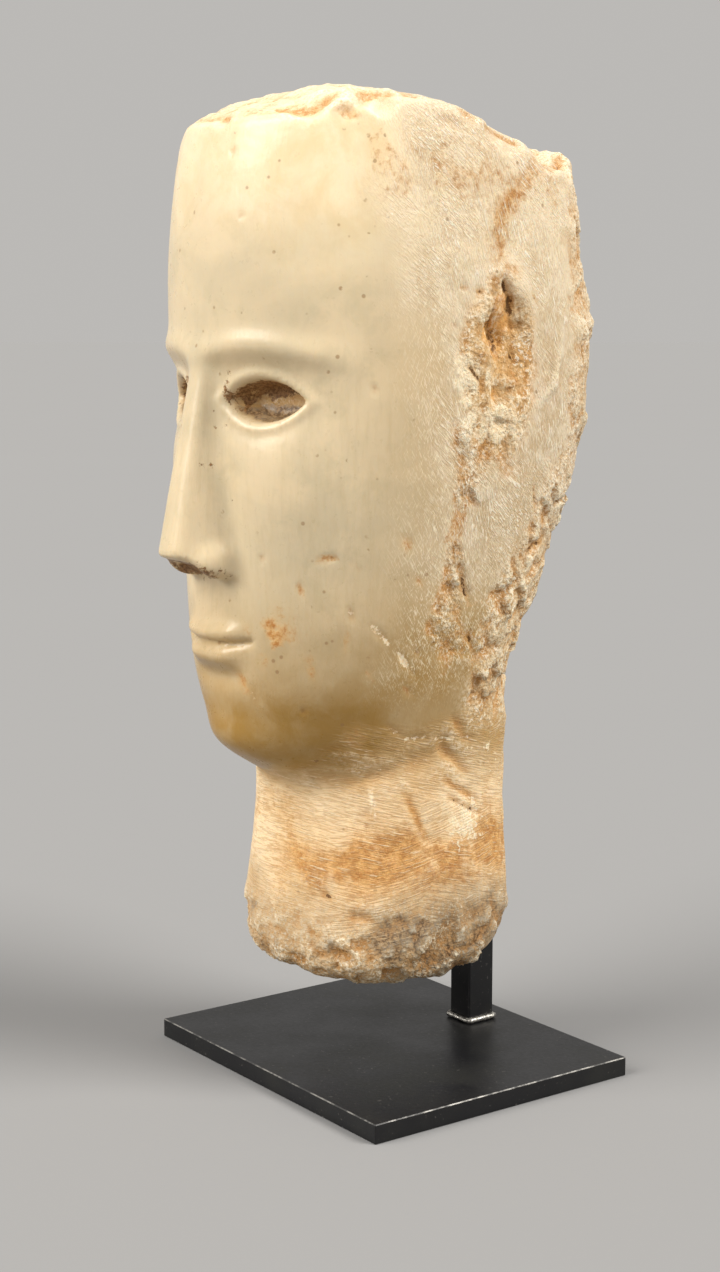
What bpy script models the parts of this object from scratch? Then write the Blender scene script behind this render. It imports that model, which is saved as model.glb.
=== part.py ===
"""A carved alabaster head with a long neck, standing on a small black steel stand.

Run with: blender --background --python part.py
Metres, +Z up. The face looks along -Y. The origin is the centre of the base plate's underside.
"""

import math

import bmesh
import bpy
import numpy as np
from mathutils import Matrix

# The steel stand, in metres
PLATE_WIDTH = 0.118
PLATE_DEPTH = 0.098
PLATE_THICKNESS = 0.006
PLATE_EDGE_BEVEL = 0.0006
POST_SIDE = 0.010
POST_CORNER_BEVEL = 0.0005
POST_REAR_MARGIN = 0.0096
POST_HEIGHT = 0.096
WELD_LEG = 0.0018
REST_WIDTH = 0.024
REST_REACH = 0.042
REST_THICKNESS = 0.003
REST_EDGE_BEVEL = 0.0005

# The stone, in metres: its height, and how far its underside is lifted over the plate
STONE_HEIGHT = 0.269
STONE_LIFT = 0.027
CONTACT_GAP = 0.0003

# The carving is drawn in parts, 269 to the stone's height. Its own axes are x to the figure's left,
# y to the back and z up, from the middle of the neck's underside.
PARTS = 269.0
PART = STONE_HEIGHT / PARTS

# The neck: (height, half width, depth in front of the axis), and the flat dressed back
NECK_RINGS = ((0, 37.5, 38), (13, 38.5, 38.5), (39, 36.5, 36), (63, 35.5, 34.5), (101, 37, 35))
NECK_BACK = 34.0
NECK_BACK_TOP = 88.0
NECK_SQUARENESS = 2.8

# The head: (height, half width, depth in front of the axis, depth behind it)
HEAD_RINGS = (
    (59, 17, 27, 12),
    (67, 26, 41, 19),
    (75, 32, 51, 24),
    (87, 38, 56, 26),
    (110, 44, 59, 39),
    (129, 47, 60, 47),
    (154, 50, 62, 57.5),
    (187, 51, 64, 65),
    (216, 50, 65, 62.5),
    (244, 47.5, 62.5, 58.5),
    (276, 42.5, 56, 57),
)
FACE_SQUARENESS = 2.35
BACK_SQUARENESS = 2.8
NECK_BLEND = 7.0

# The face: equal thirds from chin to nose base, to brow, to hairline, and five eye widths across
CHIN = 65.0
FACE_THIRD = 64.0
NOSE_BASE = CHIN + FACE_THIRD
BROW = NOSE_BASE + FACE_THIRD
MOUTH = NOSE_BASE - FACE_THIRD / 3
EYE_LINE = BROW - 0.22 * FACE_THIRD
FACE_WIDTH = 100.0
EYE_WIDTH = FACE_WIDTH / 5
EYE_CENTRE = EYE_WIDTH * 1.07
SOCKET_WIDTH = EYE_WIDTH * 1.2
SOCKET_HEIGHT = SOCKET_WIDTH * 0.5
SOCKET_DEPTH = 8.0
SOCKET_WALL = 3.6

# The nose is a straight wedge
NOSE_ROOT = BROW + 4.0
NOSE_TIP = NOSE_BASE + 5.0
NOSE_ROOT_FRONT = 64.0
NOSE_TIP_FRONT = 77.0
NOSE_RIDGE_HALF_WIDTH = (3.4, 5.0)
NOSE_FLARE = 0.42
NOSE_UNDERSIDE_RISE = 0.33
WING_RADII = (4.8, 6.5, 5.2)

# The ears: the left one is broken away to a pit, the right one is a plain low relief
EAR_Y = 9.5
EAR_Z = 195.0
EAR_HALF_WIDTH = 11.0
EAR_HALF_HEIGHT = 23.0

# The broken crown: its height over the axis from front to back as (y, height), its fall to
# the sides, the rounding of its edge and the deeper chip at the right of the forehead
CROWN_RIDGE = (
    (-60, 260),
    (-50, 262),
    (-24, 269),
    (-5, 266),
    (17, 258.5),
    (32, 251),
    (46, 254.5),
    (60, 254),
)
CROWN_SIDE_FALL = 3.0
CROWN_EDGE = 3.0
CROWN_CHIP = 11.0

# Broken and roughly picked surfaces: the size of a flake scar and how deep it bites
FLAKE_SIZE = 19.0
FLAKE_DEPTH = 2.6
NAPE = 85.0
FOOT_ROUNDING = 13.0
FOOT_BULGE = 4.0
FOOT_REAR_RISE = 6.0
FOOT_OVERCUT = 0.8

# The grid of points laid over the stone: columns round it, level rings from just over the
# underside to just below the crown's edge, and smaller rings inward across both ends
COLUMNS = 76
LEVEL_RINGS = 49
FIRST_LEVEL = 12.0
LAST_LEVEL = 243.0
END_RING_SHARES = (0.985, 0.93, 0.8, 0.6, 0.35)
SNAP_REACH = 1.7
SNAP_HOLD = 0.4
FARTHEST = 2 * max(max(ring[1:]) for ring in HEAD_RINGS)


def smooth_min(a, b, width):
    """The smaller of two distances, blended over a width."""
    share = np.clip(0.5 + 0.5 * (b - a) / width, 0, 1)
    return b + (a - b) * share - width * share * (1 - share)


def smooth_max(a, b, width):
    return -smooth_min(-a, -b, width)


def ramp(value, start, end):
    """0 at start, 1 at end, eased at both; start may be the larger."""
    t = np.clip((value - start) / (end - start), 0, 1)
    return t * t * (3 - 2 * t)


def bell(value, width):
    return np.exp(-((value / width) ** 2))


def along(rings, column, z):
    """One column of a table of rings at the heights z, on a smooth curve through its values."""
    heights = np.array([ring[0] for ring in rings], float)
    values = np.array([ring[column] for ring in rings], float)
    slopes = np.gradient(values, heights)
    i = np.clip(np.searchsorted(heights, z) - 1, 0, len(heights) - 2)
    span = heights[i + 1] - heights[i]
    t = np.clip((z - heights[i]) / span, 0, 1)
    rise = (3 - 2 * t) * t * t
    return (
        values[i] * (1 - rise)
        + values[i + 1] * rise
        + span * (slopes[i] * t * (1 - t) ** 2 - slopes[i + 1] * t * t * (1 - t))
    )


def section(x, y, half_width, front, back, front_squareness, back_squareness):
    """Distance outside a closed curve that is rounder in front and squarer behind."""
    depth = np.where(y < 0, front, back)
    power = np.where(y < 0, front_squareness, back_squareness)
    reach = (np.abs(x / half_width) ** power + np.abs(y / depth) ** power) ** (1 / power)
    return (reach - 1) * half_width


def ellipsoid(x, y, z, centre, radii):
    reach = np.sqrt(sum(((v - c) / r) ** 2 for v, c, r in zip((x, y, z), centre, radii)))
    return (reach - 1) * min(radii)


def scatter(ix, iy, iz, salt):
    """A repeatable number from 0 to 1 for each lattice cell."""
    h = (ix * 73856093) ^ (iy * 19349663) ^ (iz * 83492791) ^ (salt * 2654435761)
    h = (h ^ (h >> 13)) * 1274126177 & 0xFFFFFFFF
    return ((h ^ (h >> 16)) & 0xFFFFFF) / float(0xFFFFFF)


def flake_scars(x, y, z, size):
    """Shallow bowls that meet in ridges: 0 in a bowl's middle, about 1 on a ridge."""
    q = np.stack((x, y, z)) / size
    cell = np.floor(q).astype(np.int64)
    nearest = np.full(x.shape, 9.0)
    for dx in (-1, 0, 1):
        for dy in (-1, 0, 1):
            for dz in (-1, 0, 1):
                c = cell + np.array((dx, dy, dz))[:, None]
                seeds = c + np.stack([scatter(*c, salt) for salt in (1, 2, 3)])
                nearest = np.minimum(nearest, ((seeds - q) ** 2).sum(0))
    return np.clip(nearest, 0, 1)


def brow_height(across):
    """Height of the brow's middle line at a distance from the face's middle."""
    return BROW + 1.5 - 4.5 * ((across - 20) / 24) ** 2


def eye_outline(across, z):
    """Distance outside the almond outline of an eye socket."""
    half_width, half_height = SOCKET_WIDTH / 2, SOCKET_HEIGHT / 2
    radius = (half_width**2 + half_height**2) / (2 * half_height)
    offset = radius - half_height
    dx, dz = across - EYE_CENTRE, z - EYE_LINE
    return np.maximum(np.hypot(dx, dz + offset), np.hypot(dx, dz - offset)) - radius


def face_relief(x, z):
    """How far the soft forms of the face stand out of the plain oval."""
    across = np.abs(x)
    brow = 2.0 * bell(z - brow_height(across), 4.2) * ramp(across, 47, 36)
    orbit = -5.0 * bell(across - EYE_CENTRE, 14) * bell(z - EYE_LINE - 1, 10.5)
    outline = eye_outline(across, z)
    lids = 1.1 * bell(outline - 2.0, 1.5)
    socket = -SOCKET_DEPTH * ramp(outline, 0.5, -SOCKET_WALL)
    cheek = 1.8 * bell(across - 29, 14) * bell(z - (NOSE_BASE + 22), 17)
    muzzle = 2.6 * bell(across, 21) * bell(z - MOUTH, 18)
    chin = 3.4 * bell(across, 15) * bell(z - (CHIN + 13), 9.5)
    return brow + orbit + lids + socket + cheek + muzzle + chin + lip_relief(across, z)


def lip_relief(across, z):
    """A closed, level mouth, three quarters of an eye width to either side."""
    line = MOUTH + 0.006 * across**2
    width = ramp(across, 17.5, 9)
    upper = 2.1 * bell(z - line - 3.1, 2.7) * width
    lower = 2.4 * bell(z - line + 3.7, 3.2) * ramp(across, 15.5, 7)
    parting = -1.8 * bell(z - line, 1.0) * ramp(across, 18, 15)
    furrow = -1.6 * bell(z - line + 10, 3.4) * ramp(across, 16, 5)
    return upper + lower + parting + furrow


def nose(x, y, z):
    """Distance outside the nose: a ridge, two flat sides, an underside and the two wings."""
    across = np.abs(x)
    t = np.clip((NOSE_ROOT - z) / (NOSE_ROOT - NOSE_TIP), 0, 1.1)
    ridge = -(NOSE_ROOT_FRONT + (NOSE_TIP_FRONT - NOSE_ROOT_FRONT) * t)
    half_width = NOSE_RIDGE_HALF_WIDTH[0] + np.ptp(NOSE_RIDGE_HALF_WIDTH) * t
    side = (across - half_width - NOSE_FLARE * (y - ridge)) / math.hypot(1, NOSE_FLARE)
    wedge = smooth_max(side, ridge - y, 3.2)
    underside = NOSE_TIP - NOSE_UNDERSIDE_RISE * (y + NOSE_TIP_FRONT) - z
    wedge = smooth_max(wedge, underside, 1.8)
    wedge = smooth_max(wedge, z - NOSE_ROOT, 4.0)
    wedge = np.maximum(wedge, y + NOSE_ROOT_FRONT - 16)
    wing = ellipsoid(across, y, z, (7.6, -(NOSE_TIP_FRONT - 14), NOSE_BASE + 3.6), WING_RADII)
    nostril = ellipsoid(across, y, z, (4.4, -(NOSE_TIP_FRONT - 9), NOSE_BASE), (2.2, 3.4, 2.6))
    return smooth_max(smooth_min(wedge, wing, 3.0), -nostril, 1.0)


def ear_relief(x, y, z):
    """A plain curved ear on the figure's right, and only its worn rim on the left."""
    reach = np.hypot((y - EAR_Y) / EAR_HALF_WIDTH, (z - EAR_Z) / EAR_HALF_HEIGHT)
    rim = bell(reach - 0.85, 0.24) * ramp(y, EAR_Y - 13, EAR_Y - 2)
    hollow = bell(reach, 0.5)
    return np.where(x < 0, 4.2 * rim - 2.4 * hollow, 1.6 * rim)


def ear_pit(x, y, z):
    """The hollow left where the left ear broke away, with a stub standing in it."""
    wander = 3.0 * np.sin(z / 7.0) + 1.5 * np.sin(z / 3.1 + 1)
    pit = ellipsoid(x, y - wander * 0.6, z, (53, EAR_Y - 1, EAR_Z - 1), (9.5, 7.5, 22))
    stub = ellipsoid(x, y, z, (43, EAR_Y - 1.5, EAR_Z + 6), (6.5, 4.0, 6.5))
    return smooth_max(pit, -stub, 1.5)


def carved_head(x, y, z):
    """Distance outside the head above the neck, with its face and ears."""
    shifted_y = y + face_relief(x, z) * ramp(y, -22, -40)
    shifted_x = np.abs(x) - ear_relief(x, y, z) * ramp(np.abs(x), 30, 40)
    rings = [along(HEAD_RINGS, column, z) for column in (1, 2, 3)]
    head = section(shifted_x, shifted_y, *rings, FACE_SQUARENESS, BACK_SQUARENESS)
    head = smooth_max(head, HEAD_RINGS[0][0] - z, 6.0)
    return smooth_min(head, nose(x, y, z), 3.2)


def rough_share(y, z):
    """Where the surface is broken or only roughly picked: the back, the nape and the foot."""
    edge = 24 * ramp(z, EAR_Z - EAR_HALF_HEIGHT, EAR_Z + EAR_HALF_HEIGHT)
    back = ramp(y - edge, -4, 12) * ramp(z, NAPE - 10, NAPE + 10)
    foot = ramp(z, 36, 8)
    return np.clip(back + foot, 0, 1)


def crown_top(x, y):
    """Height of the broken top: a low ridge across the front half, falling away to both ends."""
    chip = CROWN_CHIP * ramp(x, -14, -34) * ramp(y, -34, -50)
    return along(CROWN_RIDGE, 1, y) - CROWN_SIDE_FALL * (x / 40) ** 2 - chip


def stone(points):
    """Distance outside the whole stone, for points in parts."""
    x, y, z = points
    neck = section(
        x, y, along(NECK_RINGS, 1, z), along(NECK_RINGS, 2, z), NECK_BACK + 3,
        NECK_SQUARENESS, NECK_SQUARENESS,
    )
    neck = smooth_max(neck, z - NECK_RINGS[-1][0], 6.0)
    body = smooth_min(neck, carved_head(x, y, z), NECK_BLEND)
    body = smooth_max(body, -ear_pit(x, y, z), 4.0)
    body = smooth_max(body, z - crown_top(x, y), CROWN_EDGE)
    underside = FOOT_BULGE * (x**2 + y**2) / 40**2 - FOOT_OVERCUT
    underside = underside + FOOT_REAR_RISE * ramp(y, 4, 36)
    body = smooth_max(body, underside - z, FOOT_ROUNDING)
    scars = flake_scars(x, y, z, FLAKE_SIZE) - 0.4
    body = body - FLAKE_DEPTH * scars * rough_share(y, z)
    body = np.maximum(body, -z)
    behind_neck = np.maximum(NECK_BACK - y, z - NECK_BACK_TOP)
    return np.maximum(body, -behind_neck)


def eased_angles(count):
    """Angles round the stone, closer together on the face, which is at minus 90 degrees."""
    turn = np.arange(count) / count * 2 * math.pi
    return turn - 0.47 * np.sin(turn) - math.pi / 2


def eased_heights(count):
    """Heights of the level rings, closer together from the mouth to the brow."""
    heights = np.linspace(FIRST_LEVEL, LAST_LEVEL, 400)
    density = 1 + 1.3 * bell(heights - (MOUTH + NOSE_BASE) / 2, 24) + 1.5 * bell(heights - EYE_LINE, 13)
    steps = np.cumsum(density)
    eased = np.interp(np.linspace(steps[0], steps[-1], count), steps, heights)
    for edge in (NOSE_BASE - 0.5, NOSE_TIP + 0.6, NOSE_ROOT):
        eased[np.abs(eased - edge).argmin()] = edge
    return eased


def surface_points(starts, directions):
    """Where each ray last leaves the stone, found by stepping in from outside and then halving."""
    outer = np.full(starts.shape[1], FARTHEST)
    inside = np.zeros(starts.shape[1], bool)
    step = 1.5
    while not inside.all() and outer.min() > step:
        inside |= stone(starts + directions * outer) < 0
        outer = np.where(inside, outer, outer - step)
    low, high = outer, outer + step
    for _ in range(14):
        middle = (low + high) / 2
        out = stone(starts + directions * middle) >= 0
        low, high = np.where(out, low, middle), np.where(out, middle, high)
    return starts + directions * low


def drawn_to_edges(points):
    """Points of the face, with the nearest ones moved onto the socket outlines and the mouth line."""
    x, y, z = points
    across = np.abs(x)
    off = eye_outline(across, z)
    slope_x = (eye_outline(across + 0.01, z) - off) / 0.01
    slope_z = (eye_outline(across, z + 0.01) - off) / 0.01
    pull = (0.4 - off) * ramp(np.abs(0.4 - off), SNAP_REACH, SNAP_HOLD) * (y < 0)
    mouth = MOUTH + 0.006 * across**2 - z
    lift = mouth * ramp(np.abs(mouth), SNAP_REACH, SNAP_HOLD) * ramp(across, 22, 17) * (y < 0)
    return np.stack((x + np.sign(x) * pull * slope_x, y, z + pull * slope_z + lift))


def level_rings():
    """Level rings of points round the stone, as one array of x, y and z rows."""
    z = np.repeat(eased_heights(LEVEL_RINGS), COLUMNS)
    turn = np.tile(eased_angles(COLUMNS), LEVEL_RINGS)
    nothing = np.zeros_like(z)
    starts = np.stack((nothing, nothing, z))
    points = surface_points(starts, np.stack((np.cos(turn), np.sin(turn), nothing)))
    x, y, starts[2] = drawn_to_edges(points)
    return surface_points(starts, np.stack((x, y, nothing)) / np.hypot(x, y))


def end_rings(ring, up):
    """Smaller and smaller rings across the crown or the underside, and the point in their middle."""
    shares = np.repeat((*END_RING_SHARES, 0.0), COLUMNS)
    starts = np.tile(ring, len(END_RING_SHARES) + 1)
    starts[:2] *= shares
    directions = np.zeros_like(starts)
    directions[2] = up
    points = surface_points(starts, directions).T.reshape(-1, COLUMNS, 3)
    return points[:-1], points[-1, 0]


def material(name, colour, roughness, metallic=0.0):
    made = bpy.data.materials.new(name)
    made.use_nodes = True
    shader = made.node_tree.nodes["Principled BSDF"]
    shader.inputs["Base Color"].default_value = (*colour, 1.0)
    shader.inputs["Roughness"].default_value = roughness
    shader.inputs["Metallic"].default_value = metallic
    return made


def place(name, mesh_maker, parent, finish):
    """Links a new object made from a bmesh, under the parent and with its finish."""
    mesh = bpy.data.meshes.new(name)
    made = bmesh.new()
    mesh_maker(made)
    bmesh.ops.recalc_face_normals(made, faces=made.faces)
    made.to_mesh(mesh)
    made.free()
    mesh.materials.append(finish)
    obj = bpy.data.objects.new(name, mesh)
    bpy.context.scene.collection.objects.link(obj)
    obj.parent = parent
    return obj


def add_bevel(obj, width):
    bevel = obj.modifiers.new("edges", "BEVEL")
    bevel.width = width
    bevel.segments = 2
    bevel.limit_method = "ANGLE"


def alabaster_head(bm):
    """The stone as rings of quads, closed by a fan at the foot and one at the crown."""
    levels = level_rings()
    foot_rings, foot = end_rings(levels[:, :COLUMNS], -1)
    crown_rings, top = end_rings(levels[:, -COLUMNS:], 1)
    rings = [*foot_rings[::-1], *levels.T.reshape(-1, COLUMNS, 3), *crown_rings]
    loops = [[bm.verts.new(point * PART) for point in ring] for ring in rings]
    foot, top = bm.verts.new(foot * PART), bm.verts.new(top * PART)
    for lower, upper in zip(loops, loops[1:]):
        for i in range(COLUMNS):
            j = (i + 1) % COLUMNS
            bm.faces.new((lower[i], lower[j], upper[j], upper[i]))
    for i in range(COLUMNS):
        j = (i + 1) % COLUMNS
        bm.faces.new((loops[0][j], loops[0][i], foot))
        bm.faces.new((loops[-1][i], loops[-1][j], top))


def block(bm, width, depth, height):
    """A block centred on x and y, standing on z 0."""
    size = Matrix.Diagonal((width, depth, height, 1))
    bmesh.ops.create_cube(bm, size=1, matrix=Matrix.Translation((0, 0, height / 2)) @ size)


def base_plate(bm):
    block(bm, PLATE_WIDTH, PLATE_DEPTH, PLATE_THICKNESS)


def stand_post(bm):
    """A square bar with the flared weld round its foot."""
    half = POST_SIDE / 2
    levels = ((0, half + WELD_LEG), (WELD_LEG * 0.3, half + WELD_LEG * 0.85))
    levels += ((WELD_LEG * 0.65, half + WELD_LEG * 0.3), (WELD_LEG, half), (POST_HEIGHT, half))
    rings = []
    for height, reach in levels:
        corners = ((-reach, -reach), (reach, -reach), (reach, reach), (-reach, reach))
        rings.append([bm.verts.new((x, y, height)) for x, y in corners])
    for lower, upper in zip(rings, rings[1:]):
        for i in range(4):
            j = (i + 1) % 4
            bm.faces.new((lower[i], lower[j], upper[j], upper[i]))
    bm.faces.new(reversed(rings[0]))
    bm.faces.new(rings[-1])


def neck_rest(bm):
    """A flat bar that the neck stands on, rounded at its free end."""
    block(bm, REST_WIDTH, REST_REACH, REST_THICKNESS)
    front = [e for e in bm.edges if all(v.co.y < 0 for v in e.verts)]
    upright = [e for e in front if abs(e.verts[0].co.x - e.verts[1].co.x) < 1e-6]
    upright = [e for e in upright if abs(e.verts[0].co.z - e.verts[1].co.z) > 1e-6]
    bmesh.ops.bevel(
        bm, geom=upright, offset=REST_WIDTH * 0.3, segments=5, profile=0.5, affect="EDGES"
    )


def main():
    for obj in list(bpy.data.objects):
        bpy.data.objects.remove(obj)

    alabaster = material("alabaster", (0.80, 0.68, 0.47), 0.42)
    black_steel = material("black_steel", (0.012, 0.012, 0.013), 0.38, 0.6)
    stand = bpy.data.objects.new("head_on_stand", None)
    bpy.context.scene.collection.objects.link(stand)

    post_y = PLATE_DEPTH / 2 - POST_REAR_MARGIN - POST_SIDE / 2
    post_front = post_y - POST_SIDE / 2
    stone_z = PLATE_THICKNESS + STONE_LIFT

    plate = place("base_plate", base_plate, stand, black_steel)
    add_bevel(plate, PLATE_EDGE_BEVEL)

    post = place("stand_post", stand_post, stand, black_steel)
    post.location = (0, post_y, PLATE_THICKNESS + CONTACT_GAP)
    add_bevel(post, POST_CORNER_BEVEL)

    rest = place("neck_rest", neck_rest, stand, black_steel)
    rest_y = post_front - CONTACT_GAP - REST_REACH / 2
    rest.location = (0, rest_y, stone_z - CONTACT_GAP - REST_THICKNESS)
    add_bevel(rest, REST_EDGE_BEVEL)

    head = place("alabaster_head", alabaster_head, stand, alabaster)
    head.location = (0, post_front - CONTACT_GAP - NECK_BACK * PART, stone_z)
    head.data.shade_smooth()


main()
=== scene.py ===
"""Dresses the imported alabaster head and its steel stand, and sets the floor, lights and camera."""

import math

import bmesh
import bpy
import numpy as np
from mathutils import Matrix, Vector


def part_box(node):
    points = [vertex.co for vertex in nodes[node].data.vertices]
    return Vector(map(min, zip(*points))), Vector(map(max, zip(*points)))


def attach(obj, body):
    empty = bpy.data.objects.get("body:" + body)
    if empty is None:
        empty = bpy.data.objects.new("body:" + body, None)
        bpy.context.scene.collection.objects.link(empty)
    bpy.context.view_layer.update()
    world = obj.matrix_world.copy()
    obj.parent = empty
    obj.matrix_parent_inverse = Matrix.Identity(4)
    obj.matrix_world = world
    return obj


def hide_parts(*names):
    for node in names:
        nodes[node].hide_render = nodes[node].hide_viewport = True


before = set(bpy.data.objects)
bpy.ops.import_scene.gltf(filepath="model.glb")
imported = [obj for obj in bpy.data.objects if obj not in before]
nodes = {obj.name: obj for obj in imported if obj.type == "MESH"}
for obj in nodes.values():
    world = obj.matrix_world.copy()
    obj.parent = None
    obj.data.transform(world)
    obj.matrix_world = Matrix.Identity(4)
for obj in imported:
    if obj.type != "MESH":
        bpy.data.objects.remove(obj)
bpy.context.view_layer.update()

# Carving millimetres: x to the figure's left, y to the back, z up from the stone's underside
STONE_AT = Vector((0.0, -0.0049, 0.033))
MM = 0.001
FINE_GRID = 1.17

NECK_RINGS = ((0, 37.5, 38), (13, 38.5, 38.5), (39, 36.5, 36), (63, 35.5, 34.5), (101, 37, 35))
NECK_BACK = 34.0
NECK_BACK_TOP = 88.0
NECK_BACK_REACH = NECK_BACK + 3
NECK_SQUARENESS = 2.8
HEAD_RINGS = (
    (59, 17, 27, 12),
    (67, 26, 41, 19),
    (75, 32, 51, 24),
    (87, 38, 56, 26),
    (110, 44, 59, 39),
    (129, 47, 60, 47),
    (154, 50, 62, 57.5),
    (187, 51, 64, 65),
    (216, 50, 65, 62.5),
    (244, 47.5, 62.5, 58.5),
    (276, 42.5, 56, 57),
)
FACE_SQUARENESS = 2.35
BACK_SQUARENESS = 2.8
NECK_BLEND = 7.0

# The face: equal thirds from chin to nose base, to brow, to hairline, and five eye widths across
CHIN = 65.0
FACE_THIRD = 64.0
NOSE_BASE = CHIN + FACE_THIRD
BROW = NOSE_BASE + FACE_THIRD
MOUTH = NOSE_BASE - FACE_THIRD / 3
EYE_LINE = BROW - 0.22 * FACE_THIRD
FACE_WIDTH = 100.0
EYE_WIDTH = FACE_WIDTH / 5
EYE_CENTRE = EYE_WIDTH * 1.07
SOCKET_WIDTH = EYE_WIDTH * 1.2
SOCKET_HEIGHT = SOCKET_WIDTH * 0.5
SOCKET_DEPTH = 7.6

NOSE_ROOT = BROW + 4.0
NOSE_TIP = NOSE_BASE + 5.0
NOSE_ROOT_FRONT = 64.0
NOSE_TIP_FRONT = 77.0
NOSE_RIDGE_HALF_WIDTH = (3.4, 5.0)
NOSE_FLARE = 0.42
NOSE_UNDERSIDE_RISE = 0.33
WING_RADII = (4.8, 6.5, 5.2)

EAR_Y = 9.5
EAR_Z = 195.0
EAR_HALF_WIDTH = 11.0
EAR_HALF_HEIGHT = 23.0
NAPE = 85.0

CROWN_RIDGE = (
    (-60, 260),
    (-50, 262),
    (-24, 269),
    (-5, 266),
    (17, 258.5),
    (32, 251),
    (46, 254.5),
    (60, 254),
)
CROWN_SIDE_FALL = 3.0
CROWN_EDGE = 4.5
CROWN_CHIP = 11.0
FOOT_ROUNDING = 10.0
FOOT_BULGE = 4.0
FOOT_REAR_RISE = 6.0
FOOT_OVERCUT = 0.8
FLAKE_SIZE = 19.0
FLAKE_DEPTH = 2.6

# Surface work, with lengths in carving millimetres
LONGEST_MOVE = 1.5
LEAST_SLOPE = 0.15
MARK_REACH = 9.0
CRACK_REACH = 8.0
AROUND_ROUNDS = 12
HOLLOW_DEPTH = 0.45
RIDGE_HEIGHT = 0.8

# The stand, in metres
PLATE_EDGE = 0.00028
BAR_SIDE = 0.010
BAR_EDGE = 0.0005
WELD_HALF = 0.0052
WELD_RADIUS = 0.00105
WELD_HEIGHT = 0.0006
WELD_STEPS = 40
WELD_SIDES = 8

# Floor and camera: metres, with the lens in millimetres and the angles in degrees
FLOOR_RADIUS = 40
LENS = 59.9
CAMERA_AT = (0.526, -0.395, 0.232)
LOOKS_DOWN = 8.23
LOOKS_ROUND = 53.9


def smooth_min(a, b, width):
    share = np.clip(0.5 + 0.5 * (b - a) / width, 0, 1)
    return b + (a - b) * share - width * share * (1 - share)


def smooth_max(a, b, width):
    return -smooth_min(-a, -b, width)


def ramp(value, start, end):
    """0 at start, 1 at end, eased at both; start may be the larger."""
    t = np.clip((value - start) / (end - start), 0, 1)
    return t * t * (3 - 2 * t)


def bell(value, width):
    return np.exp(-((value / width) ** 2))


def along(rings, column, z):
    """One column of a table of rings at the heights z, on a smooth curve through its values."""
    heights = np.array([ring[0] for ring in rings], float)
    values = np.array([ring[column] for ring in rings], float)
    slopes = np.gradient(values, heights)
    i = np.clip(np.searchsorted(heights, z) - 1, 0, len(heights) - 2)
    span = heights[i + 1] - heights[i]
    t = np.clip((z - heights[i]) / span, 0, 1)
    rise = (3 - 2 * t) * t * t
    return (
        values[i] * (1 - rise)
        + values[i + 1] * rise
        + span * (slopes[i] * t * (1 - t) ** 2 - slopes[i + 1] * t * t * (1 - t))
    )


def section(x, y, half_width, front, back, front_squareness, back_squareness):
    """Distance outside a closed curve that is rounder in front and squarer behind."""
    depth = np.where(y < 0, front, back)
    power = np.where(y < 0, front_squareness, back_squareness)
    reach = (np.abs(x / half_width) ** power + np.abs(y / depth) ** power) ** (1 / power)
    return (reach - 1) * half_width


def neck_section(x, y, z):
    """Distance outside the neck's plain outline."""
    half_width, front = (along(NECK_RINGS, column, z) for column in (1, 2))
    return section(x, y, half_width, front, NECK_BACK_REACH, NECK_SQUARENESS, NECK_SQUARENESS)


def head_section(x, y, z):
    """Distance outside the head's plain outline."""
    rings = [along(HEAD_RINGS, column, z) for column in (1, 2, 3)]
    return section(x, y, *rings, FACE_SQUARENESS, BACK_SQUARENESS)


def ellipsoid(x, y, z, centre, radii):
    """Distance outside a rounded lump, near enough."""
    reach = np.sqrt(sum(((v - c) / r) ** 2 for v, c, r in zip((x, y, z), centre, radii)))
    return (reach - 1) * min(radii)


def scatter(ix, iy, iz, salt):
    """A repeatable number from 0 to 1 for each lattice cell."""
    h = (ix * 73856093) ^ (iy * 19349663) ^ (iz * 83492791) ^ (salt * 2654435761)
    h = (h ^ (h >> 13)) * 1274126177 & 0xFFFFFFFF
    return ((h ^ (h >> 16)) & 0xFFFFFF) / float(0xFFFFFF)


def cells(points, size, salt):
    """Squared distance to the nearest scattered seed, that seed's own number and its tilted plane."""
    q = points / size
    home = np.floor(q).astype(np.int64)
    nearest = np.full(q.shape[1], np.inf)
    number = np.zeros(q.shape[1])
    plane = np.zeros(q.shape[1])
    for dx in (-1, 0, 1):
        for dy in (-1, 0, 1):
            for dz in (-1, 0, 1):
                c = home + np.array((dx, dy, dz))[:, None]
                away = c + np.stack([scatter(*c, salt + i) for i in (0, 1, 2)]) - q
                gap = (away**2).sum(0)
                closer = gap < nearest
                tilt = np.stack([scatter(*c, salt + i) for i in (3, 4, 5)]) - 0.5
                nearest = np.where(closer, gap, nearest)
                number = np.where(closer, tilt[0] + 0.5, number)
                plane = np.where(closer, (tilt * away).sum(0) * 2, plane)
    return nearest, number, plane


def noise(points, size, salt):
    """Smooth noise from -1 to 1 with features of about a size; size may differ along x, y and z."""
    q = points / np.reshape(size, (-1, 1))
    home = np.floor(q).astype(np.int64)
    t = q - home
    t = t * t * (3 - 2 * t)
    total = 0.0
    for dx in (0, 1):
        for dy in (0, 1):
            for dz in (0, 1):
                weight = (t[0] if dx else 1 - t[0]) * (t[1] if dy else 1 - t[1])
                weight = weight * (t[2] if dz else 1 - t[2])
                total = total + weight * scatter(home[0] + dx, home[1] + dy, home[2] + dz, salt)
    return 2 * total - 1


def layered(points, size, salt, octaves=4):
    """Several sizes of noise together, each half the size and strength of the last."""
    size = np.array(size, float)
    total, strength = 0.0, 1.0
    for i in range(octaves):
        total = total + strength * noise(points, size / 2**i, salt + i)
        strength *= 0.5
    return total


def brow_height(across):
    return BROW + 1.5 - 4.5 * ((across - 20) / 24) ** 2


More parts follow.
